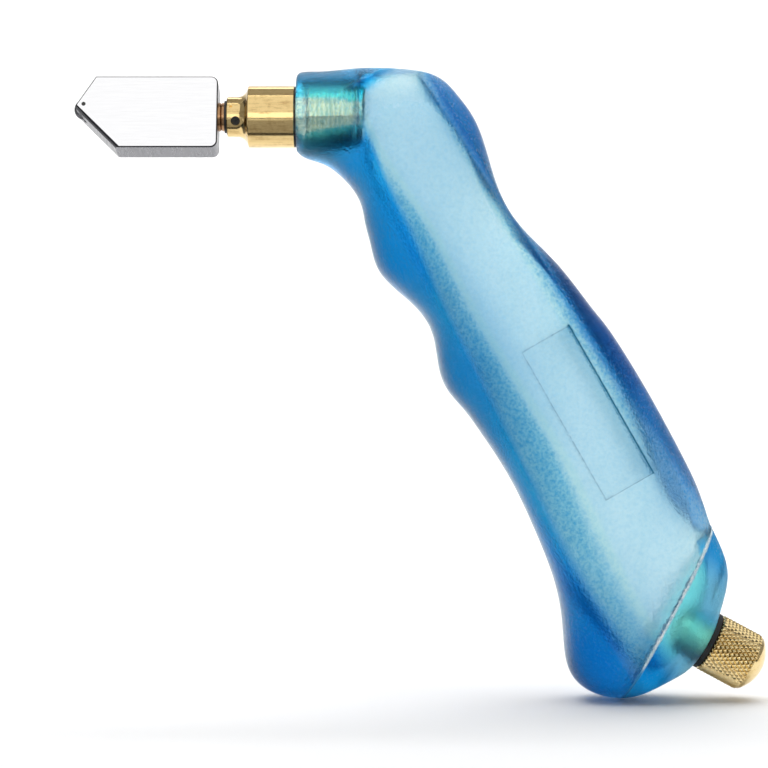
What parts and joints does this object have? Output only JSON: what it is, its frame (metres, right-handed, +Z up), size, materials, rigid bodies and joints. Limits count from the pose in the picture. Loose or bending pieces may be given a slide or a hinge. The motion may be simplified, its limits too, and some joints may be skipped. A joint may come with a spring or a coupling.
{
  "type": "glass cutter",
  "caption": "Pistol-grip oil-fed glass cutter: hollow translucent grip with finger grooves, brass ferrule, sprung swivelling steel head with a cutting wheel, and a knurled brass filler cap.",
  "frame": {"origin": "centre of the bottom of the whole cutter's box, in the grip's plane of symmetry", "axes": "+Z up as the cutter is held, -X towards the head along the ferrule's axis, Y across the grip"},
  "size_m": [0.121, 0.0212, 0.11],
  "materials": {
    "blue_acrylic": "translucent, moulded, satin",
    "clear_cement": "cloudy, with small bubbles",
    "brass": "turned and polished",
    "cap_brass": "diamond knurled",
    "bronze": "turned, oil-darkened",
    "polished_steel": "ground and polished",
    "dark_steel": "blackened",
    "spring_steel": "drawn wire",
    "carbide": "ground",
    "black_rubber": "moulded, satin",
    "wick_cotton": "twisted cotton"
  },
  "bodies": {
    "grip": {"grip_shell": "blue_acrylic", "seam_cement": "clear_cement", "butt_plug": "blue_acrylic", "filler_bush": "brass", "ferrule": "brass", "nose_gasket": "black_rubber", "set_screw": "dark_steel", "valve_seat": "brass", "valve_spring": "spring_steel"},
    "plunger": {"valve_pin": "brass", "valve_plug": "black_rubber"},
    "head": {"head_stem": "bronze", "head_washer": "black_rubber", "stem_oring": "black_rubber", "head_body": "polished_steel", "oil_wick": "wick_cotton", "wheel_axle": "dark_steel"},
    "wheel": {"cutting_wheel": "carbide"},
    "cap_carrier": {"cap_gasket": "black_rubber"},
    "cap": {"filler_cap": "cap_brass"}
  },
  "joints": [
    {"name": "head_press", "type": "slide", "parent": "grip", "child": "plunger", "axis": [1, 0, 0], "range_m": [0, 0.0006], "stiffness_N_per_m": 600, "springref_m": -0.0015, "deforming": ["valve_spring"]},
    {"name": "head_swivel", "type": "hinge", "parent": "plunger", "child": "head", "pos_m": [-0.03154, 0, 0.10151], "axis": [1, 0, 0], "range_deg": [-12, 38]},
    {"name": "wheel_spin", "type": "hinge", "parent": "head", "child": "wheel", "pos_m": [-0.05854, 0.00031, 0.10287], "axis": [0, 0.9744, -0.225], "continuous": true},
    {"name": "cap_out", "type": "slide", "parent": "grip", "child": "cap_carrier", "axis": [0.8815, 0, -0.4722], "range_m": [0, 0.006]},
    {"name": "cap_turn", "type": "hinge", "parent": "cap_carrier", "child": "cap", "pos_m": [0.04976, 0, 0.01021], "axis": [0.8815, 0, -0.4722], "range_deg": [0, 2160]}
  ],
  "couplings": [
    {"joint": "cap_out", "follows": "cap_turn", "m_per_rad": 0.00015915}
  ]
}
